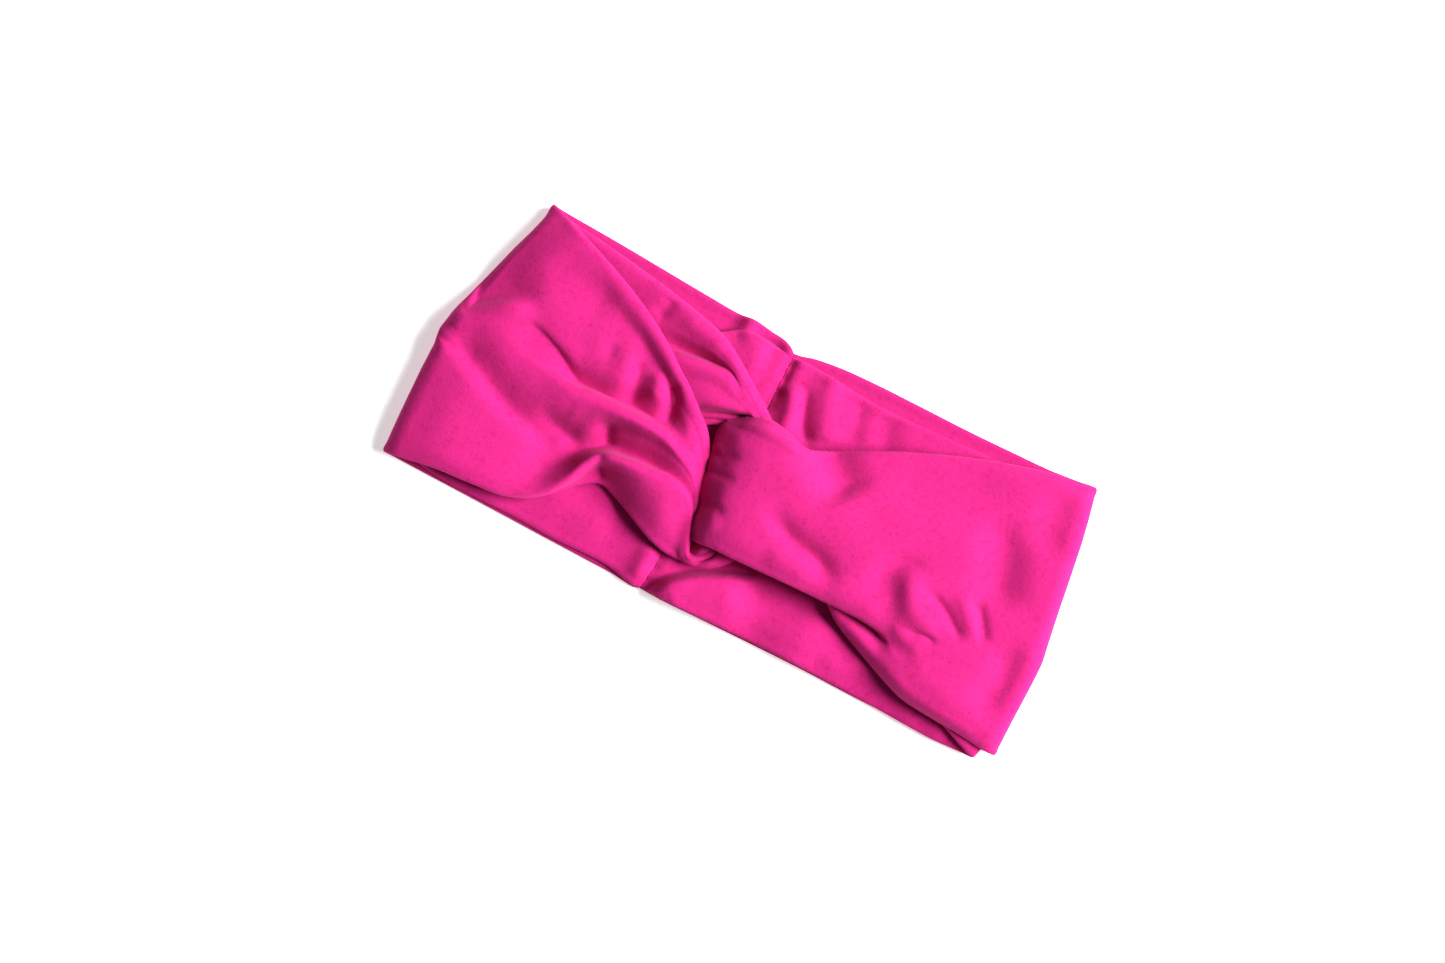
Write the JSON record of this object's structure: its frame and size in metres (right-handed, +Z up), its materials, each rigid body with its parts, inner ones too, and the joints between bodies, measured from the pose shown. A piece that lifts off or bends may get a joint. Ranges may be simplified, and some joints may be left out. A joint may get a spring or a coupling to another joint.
{
  "type": "sports headband",
  "caption": "Wide twist headband: soft knitted tubes hook round each other in a knot at the front and meet in a seam at the back; shown laid flat.",
  "frame": {"origin": "on the table under the middle of the flattened band, at the bottom centre of its box", "axes": "+X along the flattened band to the wearer's left of the knot, +Y across it to its upper edge, +Z up from the table, out of the front of the band"},
  "size_m": [0.2553, 0.113, 0.019],
  "materials": {
    "jersey": "brushed stretch jersey, soft and matt with a faint nap",
    "thread": "spun polyester sewing thread"
  },
  "bodies": {
    "root": {"left_outer_leg": "jersey", "left_inner_leg": "jersey", "left_bend": "jersey", "right_outer_leg": "jersey", "right_inner_leg": "jersey", "right_bend": "jersey", "seam_allowance": "jersey", "back_seam_stitches": "thread", "left_closing_seam": "thread", "right_closing_seam": "thread"}
  },
  "joints": []
}
